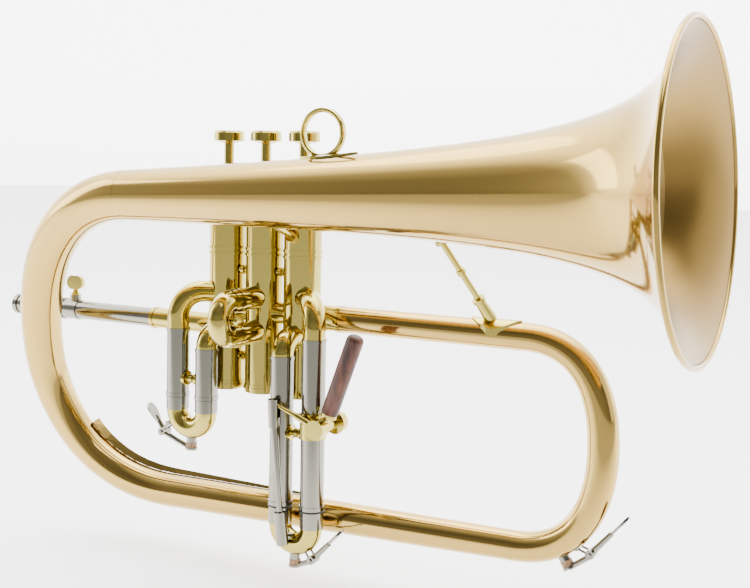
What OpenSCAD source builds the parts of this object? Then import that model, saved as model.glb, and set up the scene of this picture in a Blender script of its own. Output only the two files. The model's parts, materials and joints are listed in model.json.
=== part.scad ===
// B flat flugelhorn with three piston valves, a triggered third slide and a
// finger ring on the bell. Millimetres. +X runs towards the bell, +Z is up
// and -Y is the side where the second slide comes out. The origin is where
// the leadpipe's axis crosses the middle valve's axis.

/* [Bell] */
// Diameter over the rolled rim
rim_d = 152; // [140:0.5:165]
// Rim centre along the horn
rim_x = 254.2; // [240:0.1:270]
// Rim centre height
rim_z = 86.4; // [80:0.1:95]
// Bell plane in front of the valve row
bell_y = -48.8; // [-60:0.1:-40]
// Rise of the bell's axis towards the rim, in degrees
bell_tilt = 1.98; // [0:0.01:4]
// Sheet thickness of bell and bows
wall = 0.6; // [0.4:0.05:1]

/* [Main tube] */
// Height of the upper run
run_z = 9.75; // [5:0.05:15]
// Height of the lower run at the right bow
low_z = -98.6; // [-110:0.1:-90]
// Height of the lower run at the left bow
low_left_z = -102.7; // [-112:0.1:-92]
// Furthest point of the right bow's centre line
right_x = 201.15; // [190:0.05:215]
// Furthest point of the left bow's centre line
left_x = -145.4; // [-155:0.1:-130]

/* [Valves] */
// Distance between neighbouring valves
pitch = 25.5; // [24:0.1:28]
// Outer radius of the casings
case_r = 10.6; // [10:0.05:12]
// Radius of the casing bores
bore_r = 9.2; // [8.5:0.05:9.6]
// Piston travel
travel = 17; // [15:0.5:19]
// Radius of the air passages in the pistons
port_r = 5.3; // [5:0.05:5.5]
// Height of the button faces at rest
button_z = 112.9; // [105:0.1:120]

/* [Slides] */
// Outer radius of the slide sleeves
sleeve_r = 6.5; // [6:0.05:7]
// Outer radius of the inner slide tubes
leg_r = 5.9; // [5.5:0.05:6.2]
// Running clearance in every sliding fit
fit = 0.03; // [0.02:0.01:0.08]
// Plane of the first slide
s1_y = -20.2; // [-22:0.1:-19.8]
// Plane of the third slide
s3_y = -22; // [-26:0.1:-21]
// Front of the second slide's crook
s2_front = -45; // [-50:0.5:-42]

/* [Leadpipe] */
// Open end of the mouthpipe's receiver
mouth_x = -191; // [-200:0.5:-180]
// Outer radius of the sliding mouthpipe
mouth_r = 4.75; // [4.5:0.05:5]

/* [Finger ring] */
// Inner diameter of the finger ring
ring_id = 20.7; // [19:0.1:24]
// Centre of the ring along the horn
ring_x = 66.6; // [55:0.1:80]
// Centre height of the ring
ring_z = 110.6; // [108:0.1:114]

/* [Hidden] */
$fn = 48;
tilt_m = tan(bell_tilt);
axis_z = rim_z - tilt_m * rim_x;
x1 = 159.7;
x2 = 155.97;
x3 = -61.5;
y3 = -4;
x4 = -58.6;
right_z = -42.8;
left_z = -28.2;
low_slant = -y3 / (x2 - x3);
low_drop = (low_z - low_left_z) / (x2 - x3);
top_z = axis_z + tilt_m * x4;
lean = (bell_y - y3) / (top_z - low_left_z);
left_y = y3 + lean * (left_z - low_left_z);
valve_x = [-pitch, 0, pitch];
bell_s = (rim_x - x4) / cos(bell_tilt);
brass = [0.86, 0.72, 0.36];
rose = [0.84, 0.68, 0.45];
nickel = [0.70, 0.69, 0.65];

// ---- shared shapes ----

function unit(v) = v / norm(v);

function bez(p, t) = pow(1 - t, 3) * p[0] + 3 * pow(1 - t, 2) * t * p[1]
    + 3 * (1 - t) * t * t * p[2] + pow(t, 3) * p[3];

function bez_dir(p, t) = unit(pow(1 - t, 2) * (p[1] - p[0])
    + 2 * (1 - t) * t * (p[2] - p[1]) + t * t * (p[3] - p[2]));

// Outer radius of the bell at distance s behind the rim.
function bell_r(s) = 683.2 * pow(s + 19.5, -0.8043) + 11.82 - 0.01303 * s;

function bell_slope(s) = 549.5 * pow(s + 19.5, -1.8043) + 0.01303;

// A point on the bell's wall, e further out than the outer face.
function bell_pt(s, e) = [bell_r(s) + e / norm([1, bell_slope(s)]),
    s + e * bell_slope(s) / norm([1, bell_slope(s)])];

function along(a, b, k) = a + (b - a) * k;

module rod(a, b, r, r2 = 0) {
    d = b - a;
    translate(a)
        rotate([0, acos(d[2] / norm(d)), atan2(d[1], d[0])])
            cylinder(h = norm(d), r1 = r, r2 = r2 > 0 ? r2 : r);
}

module pipe(a, b, ro, ri) {
    u = unit(b - a);
    difference() {
        rod(a, b, ro);
        rod(a - u, b + u, ri);
    }
}

// Hollow tube along pts with matching directions and outer radii.
module sweep(pts, dirs, radii, side, n) {
    m = len(pts);
    ring = [for (w = [0, wall]) for (i = [0 : m - 1])
        let (b = unit(side - (side * dirs[i]) * dirs[i]))
        let (c = cross(b, dirs[i]))
        for (j = [0 : n - 1])
        pts[i] + (radii[i] - w) * (cos(360 * j / n) * b + sin(360 * j / n) * c)];
    in0 = m * n;
    quads_out = [for (i = [0 : m - 2]) for (j = [0 : n - 1])
        [i * n + j, i * n + (j + 1) % n, (i + 1) * n + (j + 1) % n,
        (i + 1) * n + j]];
    quads_in = [for (q = quads_out) [q[3] + in0, q[2] + in0, q[1] + in0,
        q[0] + in0]];
    cap0 = [for (j = [0 : n - 1]) [(j + 1) % n, j, in0 + j, in0 + (j + 1) % n]];
    cap1 = [for (j = [0 : n - 1]) let (e = (m - 1) * n)
        [e + j, e + (j + 1) % n, in0 + e + (j + 1) % n, in0 + e + j]];
    tris = [for (q = concat(quads_out, quads_in, cap0, cap1))
        for (t = [[q[0], q[1], q[2]], [q[0], q[2], q[3]]]) t];
    polyhedron(points = ring, faces = tris);
}

// Places a shape modelled along +Z from the rim back into the bell's tail.
module on_bell() {
    translate([rim_x, bell_y, rim_z])
        rotate([0, -90 - bell_tilt, 0])
            children();
}

// Solid of the bell between s0 and s1, e larger than its outer face.
module bell_core(s0, s1, e) {
    n = 8;
    curve = [for (i = [0 : n]) [bell_r(along(s0, s1, i / n)) + e,
        along(s0, s1, i / n)]];
    on_bell()
        rotate_extrude($fn = 96)
            polygon(concat([[0, s0]], curve, [[0, s1]]));
}

// Pointed oval prism used for the soldered feet, long axis along x.
module oval(len_x, len_y, h) {
    linear_extrude(height = h)
        polygon([for (k = [0 : 27]) let (a = 360 * k / 28)
            [len_x / 2 * cos(a), len_y / 2 * sin(a)
            * (1 - 0.35 * pow(abs(cos(a)), 3))]]);
}

// ---- bell and main tube ----

module bell() {
    n = 34;
    knots = [for (i = [0 : n]) 0.55 + (bell_s - 0.55) * pow(i / n, 2.1)];
    outer = [for (s = knots) bell_pt(s, 0)];
    inner = [for (i = [n : -1 : 0]) bell_pt(knots[i], -wall)];
    color(rose)
        on_bell()
            rotate_extrude($fn = 120)
                polygon(concat(outer, inner));
}

module rim_bead() {
    color(rose)
        on_bell()
            rotate_extrude($fn = 120)
                translate([rim_d / 2 - 1.5, 0])
                    circle(r = 1.5, $fn = 24);
}

right_a = right_x - x1;
right_b = run_z - right_z;
right_up = [[x1, 0, run_z], [x1 + 0.707 * right_a, 0, run_z],
    [right_x, 0, right_z + 0.58 * right_b], [right_x, 0, right_z]];
right_c = right_x - x2;
right_d = right_z - low_z;
right_low = [[right_x, 0, right_z], [right_x, 0, right_z - 0.558 * right_d],
    [x2, 0, low_z] + 0.704 * right_c * [1, low_slant, low_drop],
    [x2, 0, low_z]];

module right_bow() {
    n = 11;
    ts = [for (i = [0 : n]) i / n];
    pts = concat([for (t = ts) bez(right_up, t)],
        [for (i = [1 : n]) bez(right_low, i / n)]);
    dirs = concat([for (t = ts) bez_dir(right_up, t)],
        [for (i = [1 : n]) bez_dir(right_low, i / n)]);
    radii = concat([for (t = ts) 7.3 + 0.7 * t],
        [for (i = [1 : n]) 8.0 - 0.25 * i / n]);
    color(rose)
        sweep(pts, dirs, radii, [0, 1, 0], 22);
}

module bottom_run() {
    a = [x2, 0, low_z];
    b = [x3, y3, low_left_z];
    color(rose)
        difference() {
            rod(a, b, 7.75, 9.75);
            rod(along(a, b, -0.01), along(a, b, 1.01), 7.73 - wall,
                9.77 - wall);
        }
}

left_a = x3 - left_x;
left_b = left_z - low_left_z;
left_c = x4 - left_x;
left_d = top_z - left_z;
left_low = [[x3, y3, low_left_z],
    [x3, y3, low_left_z] - 0.808 * left_a * [1, low_slant, low_drop],
    [left_x, left_y - lean * 0.316 * left_b, left_z - 0.316 * left_b],
    [left_x, left_y, left_z]];
left_up = [[left_x, left_y, left_z],
    [left_x, left_y + lean * 0.441 * left_d, left_z + 0.441 * left_d],
    [x4 - 0.701 * left_c, bell_y, top_z - tilt_m * 0.701 * left_c],
    [x4, bell_y, top_z]];

module left_bow() {
    n = 14;
    ts = [for (i = [0 : n]) i / n];
    pts = concat([for (t = ts) bez(left_low, t)],
        [for (i = [1 : n]) bez(left_up, i / n)]);
    dirs = concat([for (t = ts) bez_dir(left_low, t)],
        [for (i = [1 : n]) bez_dir(left_up, i / n)]);
    radii = concat([for (t = ts) 9.75 + 1.7 * t],
        [for (i = [1 : n]) 11.45 + (bell_r(bell_s) - 11.45) * i / n]);
    color(rose)
        sweep(pts, dirs, radii, unit([0, 1, -lean]), 24);
}

module top_run() {
    color(rose)
        pipe([52.4, 0, run_z], [x1, 0, run_z], 7.3, 7.3 - wall);
}

module exit_ferrule() {
    color(brass)
        difference() {
            union() {
                rod([pitch, 0, run_z], [52.2, 0, run_z], 7.2);
                rod([49.6, 0, run_z], [52.2, 0, run_z], 7.5);
            }
            rod([pitch, 0, run_z], [53, 0, run_z], 5.9);
            translate([pitch, 0, -20])
                cylinder(h = 60, r = case_r + 0.01);
        }
}

// Guard strip's stations: centre, inward direction and tube radius, from
// the third slide along the lower run and into the left bow.
guard = concat([for (i = [0 : 5])
    let (k = along(0.58, 1, i / 5))
    [along([x2, 0, low_z], [x3, y3, low_left_z], k), [0, 0.3, 1],
    along(7.75, 9.75, k), 1.4 + 0.4 * i]],
    [for (i = [1 : 8])
    let (t = 0.5 * i / 8)
    let (d = bez_dir(left_low, t))
    [bez(left_low, t), [-d[2], 0, d[0]] * -1 + [0, 0.3, 0],
    9.75 + 1.7 * t, 3.4 + 0.28 * i]]);

module bow_guard() {
    m = len(guard);
    pts = [for (g = guard)
        let (n = unit(g[1]))
        for (c = [[-0.4, 0.1], [0.4, 0.1], [0.4, g[3]], [-0.4, g[3]]])
        g[0] + (g[2] + c[1]) * n + c[0] * [0, n[2], -n[1]]];
    side = [for (i = [0 : m - 2]) for (j = [0 : 3])
        for (t = [[0, 4, 5], [0, 5, 1]])
        [for (c = t) i * 4 + 4 * floor(c / 4) + (c % 4 + j) % 4]];
    ends = [[0, 1, 2], [0, 2, 3], [m * 4 - 4, m * 4 - 2, m * 4 - 3],
        [m * 4 - 4, m * 4 - 1, m * 4 - 2]];
    color(brass)
        polyhedron(points = pts, faces = concat(side, ends));
}

// ---- valves ----

case_low = -33;
case_top = 80;
knuckle_z = 10;
lead_z = 0;
// Each valve: inlet height, outlet height, then angle and height of the
// upper and the lower slide port.
s1_xa = -45.4;
s1_xb = -25.0;
s3_xa = 27.2;
s3_xb = 47.3;
s1_up_a = atan2(s1_y, s1_xa + pitch);
s1_lo_a = atan2(s1_y, s1_xb + pitch);
s3_up_a = atan2(s3_y, s3_xb - pitch);
s3_lo_a = atan2(s3_y, s3_xa - pitch);
ports = [[lead_z, knuckle_z, s1_up_a, 20, s1_lo_a, -2.4],
    [knuckle_z, knuckle_z, -90, 18.9, -90, -0.4],
    [knuckle_z, run_z, s3_up_a, 20.5, s3_lo_a, -1.2]];

module casing(i) {
    p = ports[i];
    difference() {
        union() {
            translate([0, 0, case_low])
                cylinder(h = case_top - case_low, r = case_r);
            for (z = [42.2, 45.4])
                translate([0, 0, z])
                    cylinder(h = 1.6, r = case_r + 0.55);
            translate([0, 0, 70.6])
                cylinder(h = 2.2, r = case_r + 0.5);
        }
        translate([0, 0, case_low - 1])
            cylinder(h = case_top - case_low + 2, r = bore_r);
        rotate([0, -90, 0])
            translate([p[0], 0, 0])
                cylinder(h = 14, r = port_r);
        rotate([0, 90, 0])
            translate([-p[1], 0, 0])
                cylinder(h = 14, r = port_r);
        for (k = [2, 4])
            rotate([0, 0, p[k]])
                translate([0, 0, p[k + 1]])
                    rotate([0, 90, 0])
                        cylinder(h = 14, r = port_r);
    }
}

module casings() {
    color(brass)
        for (i = [0 : 2])
            translate([valve_x[i], 0, 0])
                casing(i);
}

module casing_links() {
    color(brass)
        for (x = [-pitch / 2, pitch / 2]) {
            difference() {
                pipe([x - 6, 0, knuckle_z], [x + 6, 0, knuckle_z], 6.1, port_r);
                for (v = valve_x)
                    translate([v, 0, -10])
                        cylinder(h = 40, r = case_r + 0.01);
            }
            for (z = [-16.2, 33.5])
                translate([x, -2, z])
                    difference() {
                        union() {
                            rotate([0, 90, 0])
                                cylinder(h = 6, r = 1.5, center = true);
                            rotate([0, 90, 0])
                                cylinder(h = 1.6, r = 2.6, center = true);
                        }
                        for (s = [-1, 1])
                            translate([s * pitch / 2, 2, -5])
                                cylinder(h = 10, r = case_r + 0.01);
                    }
        }
}

module top_caps() {
    color(brass)
        for (v = valve_x)
            translate([v, 0, 0])
                difference() {
                    union() {
                        translate([0, 0, 73])
                            cylinder(h = 12, r = case_r + 1);
                        translate([0, 0, 85])
                            cylinder(h = 2.4, r1 = case_r + 0.6, r2 = 6);
                        translate([0, 0, 87.4])
                            cylinder(h = 1, r = 5);
                    }
                    translate([0, 0, 72])
                        cylinder(h = 12, r = case_r + 0.02);
                    translate([0, 0, 80])
                        cylinder(h = 10, r = 3.1);
                }
}

module bottom_caps() {
    color(brass)
        for (v = valve_x)
            translate([v, 0, -36.25])
                difference() {
                    union() {
                        cylinder(h = 3.1, r = 9.4);
                        translate([0, 0, 0.6])
                            cylinder(h = 4.6, r = 11);
                        translate([0, 0, 2.4])
                            cylinder(h = 1.2, r = 11.4);
                    }
                    translate([0, 0, 3.25])
                        cylinder(h = 3, r = case_r + 0.02);
                    translate([0, 0, 1.4])
                        cylinder(h = 2.6, r = 8);
                    translate([0, 0, -1])
                        cylinder(h = 4, r = 2);
                }
}

guide_z = 46;

module valve_guides() {
    color(brass)
        for (v = valve_x)
            translate([v, 0, guide_z])
                difference() {
                    union() {
                        cylinder(h = 1.8, r = 7.8);
                        translate([-9.15, -1.3, 0])
                            cube([18.3, 2.6, 1.8]);
                    }
                    translate([0, 0, -1])
                        cylinder(h = 4, r = 2.2);
                }
}

module port_leg(a, b, r) {
    u = unit(b - a);
    rod(a - 2.6 * u, b + 3 * u, r);
}

// Curved passage between two ports, bent through a point near the axis.
module passage(a1, z1, a2, z2, k = 0.3) {
    p = [bore_r * cos(a1), bore_r * sin(a1), z1];
    q = [bore_r * cos(a2), bore_r * sin(a2), z2];
    m = [k * (p[0] + q[0]), k * (p[1] + q[1]), (z1 + z2) / 2];
    port_leg(m, p, port_r);
    port_leg(m, q, port_r - 0.1);
}

module piston(i) {
    p = ports[i];
    r = bore_r - fit;
    color(nickel)
        translate([valve_x[i], 0, 0])
            difference() {
                translate([0, 0, -15.5])
                    cylinder(h = 97, r = r);
                translate([0, 0, 44.5])
                    cylinder(h = 34.5, r = 8.1);
                translate([-12, -1.6, guide_z - 0.3])
                    cube([24, 3.2, travel + 2.6]);
                translate([0, 0, -16.5])
                    cylinder(h = 3, r = 6.5);
                translate([0, 0, 70])
                    cylinder(h = 20, r = 1.6);
                rod([-12, 0, p[0] + (p[0] - p[1]) * 0.15],
                    [12, 0, p[1] + (p[1] - p[0]) * 0.15], port_r);
                if (i == 0) {
                    passage(180, p[0] + travel, p[4], p[5] + travel);
                    passage(p[2], p[3] + travel, 0, p[1] + travel);
                }
                if (i == 1) {
                    passage(180, p[0] + travel, p[2], p[3] + travel);
                    passage(p[4], p[5] + travel, 0, p[1] + travel);
                }
                if (i == 2) {
                    passage(180, p[0] + travel, p[4], p[5] + travel, 0.2);
                    passage(p[2], p[3] + travel, 0, p[1] + travel, 0.02);
                }
            }
}

module button(i) {
    color(brass)
        translate([valve_x[i], 0, 0])
            difference() {
                union() {
                    translate([0, 0, 81.52])
                        cylinder(h = 25.8, r = 2.85);
                    translate([0, 0, 71])
                        cylinder(h = 11, r = 1.55);
                    translate([0, 0, button_z - 7.2])
                        cylinder(h = 1.4, r1 = 3.4, r2 = 8.0);
                    translate([0, 0, button_z - 5.8])
                        cylinder(h = 4.6, r = 8.75);
                    translate([0, 0, button_z - 1.2])
                        cylinder(h = 1.0, r1 = 8.75, r2 = 8.0);
                }
                translate([0, 0, button_z - 1.6])
                    cylinder(h = 3, r = 6.95);
            }
}

module button_face(i) {
    color([0.25, 0.25, 0.26])
        translate([valve_x[i], 0, button_z - 1.6])
            cylinder(h = 1.6, r = 6.9);
}

module valve_spring(i) {
    turns = 7;
    steps = 14;
    z0 = guide_z + 2.5;
    z1 = 78.3;
    n = turns * steps;
    wire = 0.42;
    coil = 6.4;
    pts = [for (k = [0 : n]) let (a = 360 * k / steps)
        [coil * cos(a), coil * sin(a), z0 + (z1 - z0) * k / n]];
    ring = [for (k = [0 : n]) let (a = 360 * k / steps)
        for (j = [0 : 4]) let (b = 72 * j)
        pts[k] + wire * [cos(a) * cos(b), sin(a) * cos(b), sin(b)]];
    side = [for (k = [0 : n - 1]) for (j = [0 : 4])
        for (t = [[0, 1, 6], [0, 6, 5]])
        [for (c = t) k * 5 + (c % 5 + j) % 5 + 5 * floor(c / 5)]];
    ends = [[2, 1, 0], [3, 2, 0], [4, 3, 0],
        [n * 5, n * 5 + 1, n * 5 + 2], [n * 5, n * 5 + 2, n * 5 + 3],
        [n * 5, n * 5 + 3, n * 5 + 4]];
    color(nickel)
        translate([valve_x[i], 0, 0])
            polyhedron(points = ring, faces = concat(side, ends));
}

// ---- slides ----

// Tube that leaves a casing level and turns down after distance d.
module crook(v, az, z, d, bend, low, r) {
    translate([v, 0, 0])
        rotate([0, 0, az]) {
            rod([4, 0, z], [d - bend, 0, z], r);
            translate([d - bend, 0, z - bend])
                rotate([90, 0, 0])
                    rotate_extrude(angle = 90)
                        translate([bend, 0])
                            circle(r = r);
            rod([d, 0, low], [d, 0, z - bend], r);
        }
}

module hollow_crook(v, az, z, d, bend, low) {
    difference() {
        crook(v, az, z, d, bend, low, 6.2);
        crook(v, az, z, d, bend, low - 1, port_r);
        translate([v, 0, z - 15])
            cylinder(h = 30, r = case_r + 0.01);
    }
}

// Half-round tube below the plane z, joining legs at xa and xb.
module half_bow(xa, xb, y, z, ro, ri) {
    difference() {
        translate([(xa + xb) / 2, y, z])
            rotate([-90, 0, 0])
                rotate_extrude(angle = 180)
                    translate([(xb - xa) / 2, 0])
                        circle(r = ro);
        translate([(xa + xb) / 2, y, z])
            rotate([-90, 0, 0])
                rotate_extrude(angle = 180)
                    translate([(xb - xa) / 2, 0])
                        circle(r = ri);
    }
}

// Sleeve with a turned ring at its open lower end.
module sleeve(x, y, top, low) {
    difference() {
        union() {
            rod([x, y, low], [x, y, top], sleeve_r);
            rod([x, y, low], [x, y, low + 2.2], sleeve_r + 0.35);
            rod([x, y, top - 1.6], [x, y, top], sleeve_r + 0.3);
        }
        rod([x, y, low - 1], [x, y, top + 1], leg_r + fit);
    }
}

// Inner tube with its ferrule below the sleeve.
module leg(x, y, top, shoulder, low) {
    difference() {
        union() {
            rod([x, y, low], [x, y, top], leg_r);
            rod([x, y, low], [x, y, shoulder], sleeve_r);
        }
        rod([x, y, low - 1], [x, y, top + 1], port_r + 0.1);
    }
}

s1_bend = -47.7;
s1_d1 = norm([s1_xa + pitch, s1_y]);
s1_d2 = norm([s1_xb + pitch, s1_y]);

module slide_1_crooks() {
    color(brass) {
        hollow_crook(-pitch, s1_up_a, 20, s1_d1, 14, -0.6);
        hollow_crook(-pitch, s1_lo_a, -2.4, s1_d2, 8.4, -11.0);
    }
}

module slide_1_sleeves() {
    color(nickel) {
        sleeve(s1_xa, s1_y, -0.7, -40.0);
        sleeve(s1_xb, s1_y, -11.1, -40.0);
    }
}

module slide_1_legs() {
    color(nickel) {
        leg(s1_xa, s1_y, -3, -40.3, -47.6);
        leg(s1_xb, s1_y, -13.2, -40.3, -47.6);
    }
}

module slide_1_bow() {
    color(brass)
        half_bow(s1_xa, s1_xb, s1_y, s1_bend, 6.1, port_r);
}

module slide_2_sleeves() {
    color(brass)
        for (z = [18.9, -0.4])
            difference() {
                union() {
                    rod([0, -8, z], [0, -29, z], sleeve_r - 0.1);
                    rod([0, -27, z], [0, -29, z], sleeve_r + 0.35);
                }
                rod([0, -7, z], [0, -30, z], leg_r + fit);
                translate([0, 0, z - 8])
                    cylinder(h = 16, r = case_r + 0.01);
            }
}

module slide_2_legs() {
    color(brass)
        for (z = [18.9, -0.4])
            difference() {
                union() {
                    rod([0, -12.2, z], [0, -33.9, z], leg_r);
                    rod([0, -29.3, z], [0, -33.9, z], sleeve_r);
                }
                rod([0, -11, z], [0, -35, z], port_r + 0.1);
                translate([0, 0, z - 8])
                    cylinder(h = 16, r = case_r + 1);
            }
}

module slide_2_turn(r) {
    translate([0, -34, 9.25])
        rotate([180, -90, 0])
            rotate_extrude(angle = 180)
                translate([9.65, 0])
                    circle(r = r);
}

module slide_2_bow() {
    color(brass)
        difference() {
            union() {
                slide_2_turn(6.1);
                rod([4, -39, 9.5], [9.4, -39, 9.5], 1.8);
                rod([8.4, -39, 9.5], [11, -39, 9.5], 3.3);
            }
            slide_2_turn(port_r);
            rod([2, -39, 9.5], [3.2, -39, 9.5], 2.6);
        }
}

s3_d1 = norm([s3_xb - pitch, s3_y]);
s3_d2 = norm([s3_xa - pitch, s3_y]);
s3_end = -91.6;
s3_bend = -102;

module slide_3_crooks() {
    color(brass) {
        hollow_crook(pitch, s3_up_a, 20.5, s3_d1, 15, 1.2);
        hollow_crook(pitch, s3_lo_a, -1.2, s3_d2, 8.4, -9.7);
    }
}

module slide_3_sleeves() {
    color(nickel) {
        sleeve(s3_xb, s3_y, 1.1, s3_end);
        sleeve(s3_xa, s3_y, -9.8, s3_end);
    }
}

module slide_3_legs() {
    color(nickel) {
        leg(s3_xb, s3_y, -2, s3_end - 1.2, s3_bend + 0.1);
        leg(s3_xa, s3_y, -12, s3_end - 1.2, s3_bend + 0.1);
    }
}

module slide_3_bow() {
    color(brass)
        half_bow(s3_xa, s3_xb, s3_y, s3_bend, 6.1, port_r);
}

module slide_3_rings() {
    color([0.05, 0.05, 0.05])
        for (x = [s3_xa, s3_xb])
            translate([x, s3_y, s3_end - 0.6])
                rotate_extrude()
                    translate([6.5, 0])
                        circle(r = 0.5, $fn = 16);
}

module post_between(xa, xb, y, z) {
    difference() {
        union() {
            rod([xa, y, z], [xb, y, z], 1.6);
            rod([(xa + xb) / 2 - 1.2, y, z], [(xa + xb) / 2 + 1.2, y, z], 2.6);
            rod([xa + 5, y, z], [xa + 7.2, y, z], 4.3);
            rod([xb - 7.2, y, z], [xb - 5, y, z], 3.4);
        }
        for (x = [xa, xb])
            translate([x, y, z - 8])
                cylinder(h = 16, r = sleeve_r + 0.01);
    }
}

module slide_braces() {
    color(brass) {
        post_between(s1_xa, s1_xb, s1_y, -29.5);
        post_between(s3_xa, s3_xb, s3_y, -51.2);
    }
}

// ---- third slide trigger ----

pivot = [57, -25, -44.4];
grip_u = [sin(20.1), 0, cos(20.1)];
grip_foot = [60.0, -27.4, -38.4];

module trigger_bracket() {
    color(brass)
        difference() {
            union() {
                translate([s3_xb, s3_y, -52.6])
                    cylinder(h = 14, r = sleeve_r + 0.9);
                rod([pivot[0], -28.4, pivot[2]], [pivot[0], -14.6, pivot[2]], 2.9);
                rod([pivot[0], -35.6, pivot[2]], [pivot[0], -13, pivot[2]], 1.8);
                rod([pivot[0], -14.6, pivot[2]], [pivot[0], -10.4, pivot[2]], 5.5);
                rod([pivot[0], -37, pivot[2]], [pivot[0], -35.2, pivot[2]], 5.3);
                rod([pivot[0], -16, pivot[2]], [pivot[0], -14.6, pivot[2]], 6.1);
            }
            translate([s3_xb, s3_y, -60])
                cylinder(h = 40, r = sleeve_r + 0.01);
            translate([s3_xb - 12, s3_y - 10, -55])
                cube([7, 20, 24]);
        }
}

module trigger_lever() {
    ball = [29.2, -32, -34.6];
    color(brass)
        difference() {
            union() {
                rod([pivot[0], -35.1, pivot[2]], [pivot[0], -28.5, pivot[2]], 4.6);
                rod([pivot[0] - 2, -32.2, pivot[2] + 0.5], [43, -32.3, -39],
                    2.2, 1.9);
                rod([43.8, -32.3, -39.3], ball, 1.5, 0.9);
                translate(ball)
                    sphere(r = 1.8, $fn = 64);
                rod([pivot[0] + 0.4, -31.8, pivot[2] + 2], grip_foot
                    + 0.4 * grip_u, 1.9);
                rod(grip_foot, grip_foot + 2 * grip_u, 4.3);
            }
            rod([pivot[0], -36, pivot[2]], [pivot[0], -27, pivot[2]],
                1.8 + fit);
        }
}

module trigger_grip() {
    foot = grip_foot + 2.02 * grip_u;
    color([0.36, 0.16, 0.09])
        rod(foot, foot + 45.5 * grip_u, 4.65);
}

module trigger_rod() {
    top = [28.9, -32, -47];
    low = [33.4, -31.8, -95];
    color(nickel)
        difference() {
            union() {
                rod([top[0] - 0.4, top[1], -31.8], top, 3.4, 3.0);
                rod([top[0] - 0.05, top[1], -45], low, 2.2, 1.5);
                rod(low + [0, 0, 2], [35.3, -31.8, -110.5], 3.3);
                rod([34.8, -31.8, -106], [37, -27, -107], 2);
            }
            rod([top[0] - 0.45, top[1], -30], [top[0] - 0.1, top[1], -42.6], 2.7);
            translate([top[0], top[1] - 1.4, -41.6])
                cube([6, 2.8, 12]);
            half_bow(s3_xa, s3_xb, s3_y, s3_bend, 6.12, port_r);
        }
}

// ---- water keys ----

// Seat: nipple on the tube, saddle foot and two hinge posts. The key's own
// frame has the nipple at the origin pointing down and the hinge on +X.
key_pin = 0.9;

module key_seat(hinge_x, hinge_z) {
    difference() {
        union() {
            cylinder(h = 4.2, r = 2.9);
            for (y = [-3.4, 2.2])
                translate([hinge_x, y, hinge_z])
                    rotate([-90, 0, 0])
                        cylinder(h = 1.2, r = 2.3);
            for (y = [-3.4, 2.2])
                rod([hinge_x, y + 0.6, hinge_z], [hinge_x - 4.6, y + 0.6,
                    hinge_z + 5.6], 0.62);
            rod([hinge_x, -4.3, hinge_z], [hinge_x, 4.3, hinge_z], key_pin);
            rod([hinge_x - 4.6, -3.4, hinge_z + 5.6],
                [hinge_x - 4.6, 3.4, hinge_z + 5.6], 1.5);
        }
        translate([0, 0, -1])
            cylinder(h = 8, r = 1.8);
    }
}

module key_lever(hinge_x, hinge_z, tip_x, tip_z) {
    difference() {
        union() {
            rod([hinge_x, -2.1, hinge_z], [hinge_x, 2.1, hinge_z], 2.4);
            rod([0, 0, -4.4], [0, 0, -3.2], 3.5);
            rod([0, 0, -4.0], [hinge_x, 0, hinge_z - 1.0], 1.5);
            rod([hinge_x, 0, hinge_z], along([hinge_x, 0, hinge_z],
                [tip_x, 0, tip_z], 0.55), 1.7, 1.4);
            translate([tip_x, 0, tip_z])
                rotate([0, 90 - atan2(tip_z - hinge_z, tip_x - hinge_x), 0])
                    translate([-0.7, 0, -13])
                        rotate([0, 90, 0])
                            linear_extrude(height = 1.4)
                                polygon([for (k = [0 : 19])
                                    let (a = 18 * k)
                                    [7 * cos(a) - 6.5,
                                    (3.1 - 1.1 * cos(a)) * sin(a)]]);
        }
        rod([hinge_x, -3, hinge_z], [hinge_x, 3, hinge_z], key_pin + fit);
    }
}

module key_cork() {
    translate([0, 0, -3.18])
        cylinder(h = 3.1, r = 3.1);
}

// Frames of the three keys: nipple mouth, turn about Y, mirrored or not.
module at_key(k) {
    if (k == 1)
        translate([-35.2, s1_y, -66.2])
            mirror([1, 0, 0])
                children();
    if (k == 2)
        translate([37.2, s3_y, -120.6])
            children();
    if (k == 3)
        translate([183.6, 0, -101.2])
            rotate([0, -33, 0])
                children();
}

hinge = [[19.6, 4.0], [11.6, 1.6], [14.2, -2.2]];
tip = [[31, 18.6], [29.5, 20], [41, 5.6]];

module key_body(k) {
    color(nickel)
        difference() {
            at_key(k)
                key_seat(hinge[k - 1][0], hinge[k - 1][1]);
            if (k == 1)
                half_solid(s1_xa, s1_xb, s1_y, s1_bend);
            if (k == 2)
                half_solid(s3_xa, s3_xb, s3_y, s3_bend);
        }
}

// Solid body of a half bow, used to seat the parts soldered on it.
module half_solid(xa, xb, y, z) {
    translate([(xa + xb) / 2, y, z])
        rotate([-90, 0, 0])
            rotate_extrude(angle = 180)
                translate([(xb - xa) / 2, 0])
                    circle(r = 6.12);
}

module key_arm(k) {
    color(nickel)
        at_key(k)
            key_lever(hinge[k - 1][0], hinge[k - 1][1], tip[k - 1][0],
                tip[k - 1][1]);
}

module key_pad(k) {
    color([0.62, 0.44, 0.26])
        at_key(k)
            key_cork();
}

// ---- leadpipe ----

module leadpipe_sleeve() {
    color(nickel)
        difference() {
            union() {
                rod([-154, 0, 0], [-79.1, 0, 0], 5.75);
                rod([-154, 0, 0], [-150.8, 0, 0], 6.8);
                rod([-147, 0, 0], [-138, 0, 0], 6.3);
                translate([-142.5, 0, 3])
                    cylinder(h = 6, r = 3.4);
            }
            rod([-155, 0, 0], [-78, 0, 0], mouth_r + fit);
            translate([-142.5, 0, 2])
                cylinder(h = 8, r = 1.6);
        }
}

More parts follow.
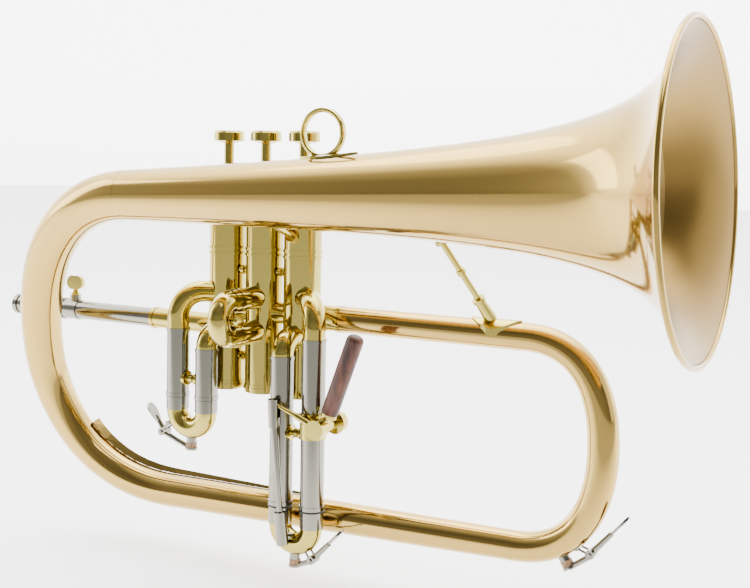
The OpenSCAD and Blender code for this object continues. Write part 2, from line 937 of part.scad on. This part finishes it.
module leadpipe_ferrule() {
    color(brass)
        difference() {
            union() {
                rod([-79, 0, 0], [-30, 0, 0], 6.15);
                rod([-79, 0, 0], [-76.6, 0, 0], 6.6);
            }
            rod([-80, 0, 0], [-77.5, 0, 0], 5.3);
            rod([-80, 0, 0], [-30, 0, 0], 5.2);
            translate([-pitch, 0, -10])
                cylinder(h = 20, r = case_r + 0.01);
        }
}

module mouthpipe() {
    color(nickel)
        difference() {
            union() {
                rod([mouth_x, 0, 0], [-84, 0, 0], mouth_r);
                rod([mouth_x, 0, 0], [-164, 0, 0], 5.9);
                rod([mouth_x, 0, 0], [mouth_x + 3, 0, 0], 6.6);
                rod([-166.4, 0, 0], [-164, 0, 0], 6.4);
            }
            rod([mouth_x - 1, 0, 0], [mouth_x + 24, 0, 0], 4.45);
            rod([mouth_x + 20, 0, 0], [-83, 0, 0], 3.9);
        }
}

module clamp_screw() {
    color(brass)
        translate([-142.5, 0, 0])
            union() {
                translate([0, 0, 4.95])
                    cylinder(h = 8.4, r = 1.55);
                translate([0, 0, 9.1])
                    cylinder(h = 1.4, r = 3.0);
                translate([0, 0, 10.5])
                    cylinder(h = 2.4, r1 = 2.2, r2 = 1.4);
                translate([0, 1.3, 17])
                    rotate([90, 0, 0])
                        linear_extrude(height = 2.6)
                            polygon([for (k = [0 : 31])
                                let (a = 360 * k / 32)
                                [6.4 * cos(a), 5.3 * sin(a)
                                * (0.82 + 0.18 * abs(cos(a)))]]);
            }
}

// ---- ring, braces and guard ----

module finger_ring() {
    color(brass)
        difference() {
            union() {
                translate([ring_x, bell_y, ring_z])
                    rotate([90, 0, 0])
                        rotate_extrude($fn = 72)
                            translate([ring_id / 2, 0])
                                polygon([[0, -1.1], [0.35, -1.8],
                                    [1.22, -2.05], [2.05, -1.8],
                                    [2.44, -1.1], [2.44, 1.1],
                                    [2.05, 1.8], [1.22, 2.05],
                                    [0.35, 1.8], [0, 1.1]]);
                intersection() {
                    bell_core(150, 225, 1.0);
                    translate([70, bell_y, 80])
                        oval(34, 12, 40);
                }
            }
            bell_core(140, 235, 0.02);
        }
}

module bell_brace() {
    a = [120.6, -33.0, 65.6];
    b = [140.4, -1.2, 17.4];
    color(brass)
        difference() {
            union() {
                rod(a, b, 1.7);
                rod(a, along(a, b, 0.14), 3.3, 2.8);
                rod(along(a, b, 0.14), along(a, b, 0.17), 3.5);
                rod(along(a, b, 0.46), along(a, b, 0.5), 2.5);
                rod(along(a, b, 0.80), b, 2.8, 3.4);
                rod(along(a, b, 0.77), along(a, b, 0.8), 3.5);
                intersection() {
                    bell_core(104, 164, 1.0);
                    translate(a + [0, 3.2, -4.4])
                        rotate([-42, 0, 0])
                            translate([0, 0, -8])
                                oval(26, 13, 26);
                }
                intersection() {
                    rod([115, 0, run_z], [166, 0, run_z], 8.3);
                    translate([143, 0, run_z])
                        oval(28, 15, 12);
                }
            }
            bell_core(96, 172, 0.02);
            rod([100, 0, run_z], [x1, 0, run_z], 7.32);
            right_core();
        }
}

// Keeps the brace's foot clear of the right bow.
module right_core() {
    translate([x1 - 1, -20, -10])
        cube([20, 40, 60]);
}

module valve_brace() {
    color(brass)
        difference() {
            union() {
                rod([pitch, -9, 54], [28, -38, 64], 2.0);
                rod([pitch, -8, 53.6], [pitch + 0.4, -13.4, 55.6], 3.6);
                intersection() {
                    bell_core(200, 256, 1.0);
                    translate([30, -40, 55])
                        rotate([-30, 0, 0])
                            oval(30, 13, 22);
                }
            }
            bell_core(190, 266, 0.02);
            translate([pitch, 0, 40])
                cylinder(h = 30, r = case_r + 0.02);
        }
}

bell();
rim_bead();
left_bow();
bottom_run();
right_bow();
top_run();
exit_ferrule();
casings();
casing_links();
top_caps();
bottom_caps();
valve_guides();
valve_spring(0);  // valve_spring_1
valve_spring(1);  // valve_spring_2
valve_spring(2);  // valve_spring_3
piston(0);  // piston_1
piston(1);  // piston_2
piston(2);  // piston_3
button(0);  // button_1
button(1);  // button_2
button(2);  // button_3
button_face(0);  // button_face_1
button_face(1);  // button_face_2
button_face(2);  // button_face_3
slide_1_crooks();
slide_1_sleeves();
slide_1_legs();
slide_1_bow();
slide_2_sleeves();
slide_2_legs();
slide_2_bow();
slide_3_crooks();
slide_3_sleeves();
slide_3_legs();
slide_3_bow();
slide_braces();
slide_3_rings();
trigger_bracket();
trigger_lever();
trigger_grip();
trigger_rod();
key_body(1);  // key_1_seat
key_arm(1);  // key_1_lever
key_pad(1);  // key_1_cork
key_body(2);  // key_2_seat
key_arm(2);  // key_2_lever
key_pad(2);  // key_2_cork
key_body(3);  // key_3_seat
key_arm(3);  // key_3_lever
key_pad(3);  // key_3_cork
leadpipe_sleeve();
leadpipe_ferrule();
mouthpipe();
clamp_screw();
finger_ring();
bell_brace();
valve_brace();
bow_guard();
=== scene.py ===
import json
import math

import bmesh
import bpy
from mathutils import Matrix, Vector


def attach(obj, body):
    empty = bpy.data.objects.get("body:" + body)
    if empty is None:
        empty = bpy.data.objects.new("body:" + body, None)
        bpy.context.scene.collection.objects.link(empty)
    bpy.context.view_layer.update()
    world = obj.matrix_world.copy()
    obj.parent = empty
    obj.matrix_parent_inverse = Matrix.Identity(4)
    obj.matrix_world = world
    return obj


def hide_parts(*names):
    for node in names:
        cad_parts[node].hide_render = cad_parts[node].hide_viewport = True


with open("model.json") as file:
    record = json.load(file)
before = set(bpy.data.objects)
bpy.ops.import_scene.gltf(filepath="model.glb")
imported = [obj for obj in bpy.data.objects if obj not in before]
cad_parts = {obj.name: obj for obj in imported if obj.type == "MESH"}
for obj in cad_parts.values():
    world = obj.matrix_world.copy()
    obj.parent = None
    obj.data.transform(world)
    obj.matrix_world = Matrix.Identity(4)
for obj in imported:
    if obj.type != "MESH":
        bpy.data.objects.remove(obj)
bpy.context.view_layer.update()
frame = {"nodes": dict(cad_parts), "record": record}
nodes = frame["nodes"]
MM = 0.001


# ---- materials ----


def metal(name, color, rough, mottle=0.0, scale=60.0):
    m = bpy.data.materials.new(name)
    m.use_nodes = True
    nt = m.node_tree
    b = nt.nodes["Principled BSDF"]
    b.inputs["Base Color"].default_value = (*color, 1)
    b.inputs["Metallic"].default_value = 1.0
    b.inputs["Roughness"].default_value = rough
    if mottle:
        tc = nt.nodes.new("ShaderNodeTexCoord")
        no = nt.nodes.new("ShaderNodeTexNoise")
        no.inputs["Scale"].default_value = scale
        no.inputs["Detail"].default_value = 4
        nt.links.new(tc.outputs["Object"], no.inputs["Vector"])
        ra = nt.nodes.new("ShaderNodeMapRange")
        ra.inputs["To Min"].default_value = rough * (1 - mottle)
        ra.inputs["To Max"].default_value = rough * (1 + mottle)
        nt.links.new(no.outputs["Fac"], ra.inputs["Value"])
        nt.links.new(ra.outputs["Result"], b.inputs["Roughness"])
    return m


def plain(name, color, rough, spec=0.5):
    m = bpy.data.materials.new(name)
    m.use_nodes = True
    b = m.node_tree.nodes["Principled BSDF"]
    b.inputs["Base Color"].default_value = (*color, 1)
    b.inputs["Roughness"].default_value = rough
    b.inputs["Specular IOR Level"].default_value = spec
    return m


def grained(name, dark, light, rough, stretch, scale):
    m = plain(name, light, rough)
    nt = m.node_tree
    tc = nt.nodes.new("ShaderNodeTexCoord")
    mp = nt.nodes.new("ShaderNodeMapping")
    mp.inputs["Scale"].default_value = stretch
    mp.inputs["Rotation"].default_value = (0, math.radians(-20), 0)
    no = nt.nodes.new("ShaderNodeTexNoise")
    no.inputs["Scale"].default_value = scale
    no.inputs["Detail"].default_value = 6
    ra = nt.nodes.new("ShaderNodeValToRGB")
    ra.color_ramp.elements[0].position = 0.35
    ra.color_ramp.elements[0].color = (*dark, 1)
    ra.color_ramp.elements[1].position = 0.68
    ra.color_ramp.elements[1].color = (*light, 1)
    nt.links.new(tc.outputs["Object"], mp.inputs["Vector"])
    nt.links.new(mp.outputs["Vector"], no.inputs["Vector"])
    nt.links.new(no.outputs["Fac"], ra.inputs["Fac"])
    nt.links.new(ra.outputs["Color"], nt.nodes["Principled BSDF"].inputs["Base Color"])
    return m


ROSE = metal("rose_brass", (0.47, 0.31, 0.08), 0.10, mottle=0.15)
SATIN = metal("satin_throat", (0.46, 0.30, 0.095), 0.38, mottle=0.1)
# The inner flare gets a darker copy of the rose brass: painted shade and painted reflection of the dim inside of the
# bell.
FLARE_PAINTED_SHADE = metal("inner_flare_painted_shade", (0.25, 0.155, 0.04), 0.32, mottle=0.1)
BRASS = metal("yellow_brass", (0.48, 0.38, 0.085), 0.08, mottle=0.15)
NICKEL = metal("nickel_silver", (0.24, 0.228, 0.185), 0.14, mottle=0.15)
MONEL = metal("monel", (0.62, 0.60, 0.57), 0.2)
STEEL = metal("spring_wire", (0.60, 0.50, 0.38), 0.25)
INLAY = plain("dark_inlay", (0.05, 0.05, 0.055), 0.18)
RUBBER = plain("black_rubber", (0.012, 0.012, 0.012), 0.5)
WOOD = grained("wood_grip", (0.030, 0.008, 0.004), (0.13, 0.036, 0.017), 0.55, (420, 420, 40), 1.0)
CORK = grained("cork", (0.20, 0.10, 0.05), (0.52, 0.33, 0.17), 0.8, (300, 300, 300), 2.0)
BY_SLOT = {
    "rose_brass": ROSE,
    "brass": BRASS,
    "nickel_silver": NICKEL,
    "monel": MONEL,
    "spring_wire": STEEL,
    "dark_inlay": INLAY,
    "black_rubber": RUBBER,
    "wood_grip": WOOD,
    "cork": CORK,
}
for part in frame["record"]["subparts"]:
    me = nodes[part["node"]].data
    me.materials.clear()
    # The guard strip is lacquered like the bow it is soldered to.
    me.materials.append(ROSE if part["node"] == "bow_guard" else BY_SLOT[part["material_slot"]])


# ---- mesh helpers, in millimetres in the row frame ----


def add(name, verts, faces, mat, body, stands_for=(), slot=None, sharp=35, second=None):
    me = bpy.data.meshes.new(name)
    me.from_pydata([Vector(v) * MM for v in verts], [], faces)
    bm = bmesh.new()
    bm.from_mesh(me)
    bmesh.ops.recalc_face_normals(bm, faces=bm.faces)
    bm.to_mesh(me)
    bm.free()
    me.materials.append(mat)
    if second:
        me.materials.append(second[0])
        for p in me.polygons:
            if second[1](p.center / MM):
                p.material_index = 1
    me.shade_smooth()
    me.set_sharp_from_angle(angle=math.radians(sharp))
    o = bpy.data.objects.new(name, me)
    bpy.context.scene.collection.objects.link(o)
    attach(o, body)
    if stands_for:
        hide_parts(*stands_for)
    return o


def basis(axis):
    a = Vector(axis).normalized()
    ref = Vector((0, 0, 1)) if abs(a.z) < 0.9 else Vector((1, 0, 0))
    u = a.cross(ref).normalized()
    return a, u, a.cross(u)


def rings_mesh(rings, closed=False, caps=False):
    n = len(rings[0])
    verts = [v for r in rings for v in r]
    faces = []
    m = len(rings)
    for i in range(m if closed else m - 1):
        k = (i + 1) % m
        for j in range(n):
            q = (j + 1) % n
            faces.append((i * n + j, i * n + q, k * n + q, k * n + j))
    if caps and not closed:
        faces.append(tuple(range(n))[::-1])
        faces.append(tuple((m - 1) * n + j for j in range(n)))
    return verts, faces


def lathe_rings(profile, origin, axis, n=64):
    """profile is (radius, distance along the axis)."""
    a, u, v = basis(axis)
    o = Vector(origin)
    return [
        [o + a * s + (u * math.cos(2 * math.pi * j / n) + v * math.sin(2 * math.pi * j / n)) * max(r, 0.001) for j in range(n)]
        for r, s in profile
    ]


def lathe(name, profile, origin, axis, mat, body, n=64, closed=False, **kw):
    v, f = rings_mesh(lathe_rings(profile, origin, axis, n), closed=closed)
    return add(name, v, f, mat, body, **kw)


def bez(p, t):
    return p[0] * (1 - t) ** 3 + p[1] * 3 * (1 - t) ** 2 * t + p[2] * 3 * (1 - t) * t * t + p[3] * t ** 3


def sweep_rings(path, radii, side, n=48):
    m = len(path)
    out = []
    for i, p in enumerate(path):
        d = (path[min(i + 1, m - 1)] - path[max(i - 1, 0)]).normalized()
        b = (side - d * side.dot(d)).normalized()
        c = b.cross(d)
        out.append([p + (b * math.cos(2 * math.pi * j / n) + c * math.sin(2 * math.pi * j / n)) * radii[i] for j in range(n)])
    return out


def tube(name, path, radii, side, mat, body, n=48, thick=0.6, **kw):
    outer = sweep_rings(path, radii, side, n)
    inner = sweep_rings(path, [r - thick for r in radii], side, n)
    v, f = rings_mesh(outer + inner[::-1], closed=True)
    return add(name, v, f, mat, body, **kw)


# ---- bell ----

RIM = Vector((254.2, -48.8, 86.4))
TILT = math.radians(1.98)
BACK = Vector((-math.cos(TILT), 0, -math.sin(TILT)))
BELL_END = (254.2 + 58.6) / math.cos(TILT)


def bell_r(s):
    return 683.2 * (s + 19.5) ** -0.8043 + 11.82 - 0.01303 * s


def bell_pt(s, e):
    k = 549.5 * (s + 19.5) ** -1.8043 + 0.01303
    q = math.hypot(1, k)
    return bell_r(s) + e / q, s + e * k / q


knots = [0.55 + (BELL_END - 0.55) * (i / 150) ** 2.0 for i in range(151)]
outer = [bell_pt(s, 0.02) for s in knots]
inner = [bell_pt(s, -0.6) for s in reversed(knots)]
THROAT = 26.0


def inner_wall(c):
    """How far behind the rim a point on the bell's inner wall lies, or None outside."""
    d = c - RIM
    s = d.dot(BACK)
    return s if (d - BACK * s).length < bell_pt(s, -0.3)[0] else None


def in_throat(c):
    s = inner_wall(c)
    return s is not None and s > THROAT


def in_flare(c):
    s = inner_wall(c)
    return s is not None and s <= THROAT


bell = lathe("bell_skin", outer + inner, RIM, BACK, ROSE, "horn", n=160, closed=True,
      stands_for=("bell",), slot="rose_brass", second=(SATIN, in_throat))
# The flare's inner wall takes the darker brass, a painted shade inside the bell.
bell.data.materials.append(FLARE_PAINTED_SHADE)
for poly in bell.data.polygons:
    if in_flare(poly.center / MM):
        poly.material_index = 2
bead = [(74.5 + 1.5 * math.cos(a), 1.5 * math.sin(a)) for a in [2 * math.pi * k / 24 for k in range(24)]]
lathe("rim_bead_skin", bead, RIM, BACK, ROSE, "horn", n=160, closed=True,
      stands_for=("rim_bead",), slot="rose_brass", sharp=60)

# ---- main tube, four straight or curved lengths between the points below ----

axis_z = 86.4 - math.tan(TILT) * 254.2
tm = math.tan(TILT)
X1, X2, X3, X4, XR, XL = 159.7, 155.97, -61.5, -58.6, 201.15, -145.4
ZA, ZB, ZC, ZR, ZL, Y3 = 9.75, -98.6, -102.7, -42.8, -28.2, -4.0
run_dir = Vector((1, -Y3 / (X2 - X3), (ZB - ZC) / (X2 - X3)))
zt = axis_z + tm * X4
lean = (-48.8 - Y3) / (zt - ZC)
yl = Y3 + lean * (ZL - ZC)
a, b = XR - X1, ZA - ZR
up = [Vector((X1, 0, ZA)), Vector((X1 + 0.707 * a, 0, ZA)), Vector((XR, 0, ZR + 0.58 * b)), Vector((XR, 0, ZR))]
a, b = XR - X2, ZR - ZB
p2 = Vector((X2, 0, ZB))
low = [Vector((XR, 0, ZR)), Vector((XR, 0, ZR - 0.558 * b)), p2 + run_dir * (0.704 * a), p2]
p3 = Vector((X3, Y3, ZC))
a, b = X3 - XL, ZL - ZC
left1 = [p3, p3 - run_dir * (0.808 * a), Vector((XL, yl - lean * 0.316 * b, ZL - 0.316 * b)), Vector((XL, yl, ZL))]
a, b = X4 - XL, zt - ZL
left2 = [Vector((XL, yl, ZL)), Vector((XL, yl + lean * 0.441 * b, ZL + 0.441 * b)),
         Vector((X4 - 0.701 * a, -48.8, zt - tm * 0.701 * a)), Vector((X4, -48.8, zt))]
N = 40
ts = [i / N for i in range(N + 1)]
SIDE = Vector((0, 1, 0))
tube("top_run_skin", [Vector((52.4, 0, ZA)), Vector((80, 0, ZA)), Vector((120, 0, ZA)), Vector((X1, 0, ZA))], [7.3] * 4,
     SIDE, ROSE, "horn", stands_for=("top_run",), slot="rose_brass", n=64)
tube("right_bow_skin", [bez(up, t) for t in ts] + [bez(low, t) for t in ts[1:]],
     [7.32 + 0.7 * t for t in ts] + [8.02 - 0.25 * t for t in ts[1:]],
     SIDE, ROSE, "horn", stands_for=("right_bow",), slot="rose_brass", n=64)
tube("bottom_run_skin", [p2.lerp(p3, t) for t in ts], [7.77 + 2.0 * t for t in ts],
     SIDE, ROSE, "horn", stands_for=("bottom_run",), slot="rose_brass", n=64)
tube("left_bow_skin", [bez(left1, t) for t in ts] + [bez(left2, t) for t in ts[1:]],
     [9.77 + 1.7 * t for t in ts] + [11.47 + (bell_r(BELL_END) + 0.02 - 11.47) * t for t in ts[1:]],
     Vector((0, 1, -lean)).normalized(), ROSE, "horn", stands_for=("left_bow",), slot="rose_brass", n=72)

# ---- trigger grip, with its rounded end ----

GRIP_LEAN = math.radians(20.1)
grip_dir = Vector((math.sin(GRIP_LEAN), 0, math.cos(GRIP_LEAN)))
grip_foot = Vector((60.0, -27.4, -38.4)) + grip_dir * 2.02
GRIP_LEN, GRIP_R, ROUND = 45.5, 4.67, 3.2
dome = [(GRIP_R - ROUND + ROUND * math.cos(a), GRIP_LEN - ROUND + ROUND * math.sin(a))
        for a in [math.pi / 2 * k / 10 for k in range(11)]]
lathe("grip_skin", [(0, 0.05), (GRIP_R - 0.5, 0.05), (GRIP_R, 0.5), (GRIP_R, 22)] + dome + [(0, GRIP_LEN)],
      grip_foot, grip_dir, WOOD, "trigger", n=48, stands_for=("trigger_grip",), slot="wood_grip", sharp=50)

# ---- stage, lights and camera ----

FLOOR_HALF, FLOOR_Z = 6.0, -0.135
floor_me = bpy.data.meshes.new("floor")
corners = [(-1, -1), (1, -1), (1, 1), (-1, 1)]
floor_me.from_pydata([(x * FLOOR_HALF, y * FLOOR_HALF, FLOOR_Z) for x, y in corners], [], [(0, 1, 2, 3)])
# The floor is pale under and behind the horn and is painted darker in front of it, a painted shade so the metal that
# faces forward has something darker to mirror.
FLOOR = plain("floor_painted_shade_and_glow", (0.93, 0.93, 0.93), 0.9, 0.0)
ft = FLOOR.node_tree
f_co = ft.nodes.new("ShaderNodeTexCoord")
f_dot = ft.nodes.new("ShaderNodeVectorMath")
f_dot.operation = "DOT_PRODUCT"
f_dot.inputs[1].default_value = (0.47, -0.88, 0.0)
f_ramp = ft.nodes.new("ShaderNodeValToRGB")
for k, (pos, v) in enumerate([(0.06, 0.93), (0.40, 0.22)]):
    f_ramp.color_ramp.elements[k].position = pos
    f_ramp.color_ramp.elements[k].color = (v, v, v, 1)
ft.links.new(f_co.outputs["Object"], f_dot.inputs[0])
ft.links.new(f_dot.outputs["Value"], f_ramp.inputs["Fac"])
ft.links.new(f_ramp.outputs["Color"], ft.nodes["Principled BSDF"].inputs["Base Color"])
# The same ramp drives the floor's emission, so the floor glows though it is no lamp: painted light that also lights the
# horn from below.
ft.links.new(f_ramp.outputs["Color"], ft.nodes["Principled BSDF"].inputs["Emission Color"])
ft.nodes["Principled BSDF"].inputs["Emission Strength"].default_value = 1.6
floor_me.materials.append(FLOOR)
floor = bpy.data.objects.new("floor", floor_me)
bpy.context.scene.collection.objects.link(floor)

world = bpy.data.worlds.new("studio")
bpy.context.scene.world = world
world.use_nodes = True
nt = world.node_tree
bg = nt.nodes["Background"]
tc = nt.nodes.new("ShaderNodeTexCoord")
sep = nt.nodes.new("ShaderNodeSeparateXYZ")
nt.links.new(tc.outputs["Generated"], sep.inputs["Vector"])
# The walls on the far side are bright and those behind the camera are dim.
dot = nt.nodes.new("ShaderNodeVectorMath")
dot.operation = "DOT_PRODUCT"
dot.inputs[1].default_value = (-0.47, 0.88, 0.0)
nt.links.new(tc.outputs["Generated"], dot.inputs[0])
side = nt.nodes.new("ShaderNodeValToRGB")
for k, (pos, v) in enumerate([(0.0, 0.20), (0.25, 0.12), (0.45, 0.45), (0.60, 2.2), (1.0, 3.2)]):
    e = side.color_ramp.elements[k] if k < 2 else side.color_ramp.elements.new(pos)
    e.position = pos
    e.color = (v, v, v, 1)
half = nt.nodes.new("ShaderNodeMath")
half.operation = "MULTIPLY_ADD"
half.inputs[1].default_value = 0.5
half.inputs[2].default_value = 0.5
nt.links.new(dot.outputs["Value"], half.inputs[0])
nt.links.new(half.outputs["Value"], side.inputs["Fac"])
rise = nt.nodes.new("ShaderNodeValToRGB")
for k, (pos, v) in enumerate([(0.0, 0.9), (0.07, 1.0), (0.16, 1.0), (0.45, 0.7), (0.85, 1.2)]):
    e = rise.color_ramp.elements[k] if k < 2 else rise.color_ramp.elements.new(pos)
    e.position = pos
    e.color = (v, v, v, 1)
nt.links.new(sep.outputs["Z"], rise.inputs["Fac"])
both = nt.nodes.new("ShaderNodeVectorMath")
both.operation = "MULTIPLY"
nt.links.new(side.outputs["Color"], both.inputs[0])
nt.links.new(rise.outputs["Color"], both.inputs[1])
nt.links.new(both.outputs["Vector"], bg.inputs["Color"])
bg.inputs["Strength"].default_value = 2.4


def softbox(name, pos, target, sx, sy, power):
    light = bpy.data.lights.new(name, "AREA")
    light.shape = "RECTANGLE"
    light.size = sx
    light.size_y = sy
    light.energy = power
    o = bpy.data.objects.new(name, light)
    o.location = pos
    o.rotation_euler = (Vector(target) - Vector(pos)).to_track_quat("-Z", "Y").to_euler()
    bpy.context.scene.collection.objects.link(o)
    return o


softbox("top_box", (0.1, 0.1, 1.5), (0.05, 0, 0), 2.2, 1.4, 40)
softbox("left_box", (-1.3, -0.5, 0.6), (0.05, 0, 0), 0.5, 1.0, 8)
softbox("right_box", (1.5, 0.2, 0.4), (0.1, 0, 0), 0.7, 0.9, 3)

cam_data = bpy.data.cameras.new("camera")
cam = bpy.data.objects.new("camera", cam_data)
bpy.context.scene.collection.objects.link(cam)
YAW, DIP, ROLL = 0.4922, 0.0657, 0.0199
CAM_POS = (0.36207, -0.54109, 0.09722)
fwd = Vector((-math.sin(YAW) * math.cos(DIP), math.cos(YAW) * math.cos(DIP), -math.sin(DIP)))
level = Vector((math.cos(YAW), math.sin(YAW), 0))
rise_dir = level.cross(fwd)
right = level * math.cos(ROLL) + rise_dir * math.sin(ROLL)
up_dir = rise_dir * math.cos(ROLL) - level * math.sin(ROLL)
cam.matrix_world = Matrix([(right[k], up_dir[k], -fwd[k], CAM_POS[k]) for k in range(3)] + [(0, 0, 0, 1)])
cam_data.sensor_width = 36
cam_data.lens = 54.70368
cam_data.shift_x = -0.00168
cam_data.shift_y = -0.0775733
cam_data.clip_start = 0.01
bpy.context.scene.camera = cam
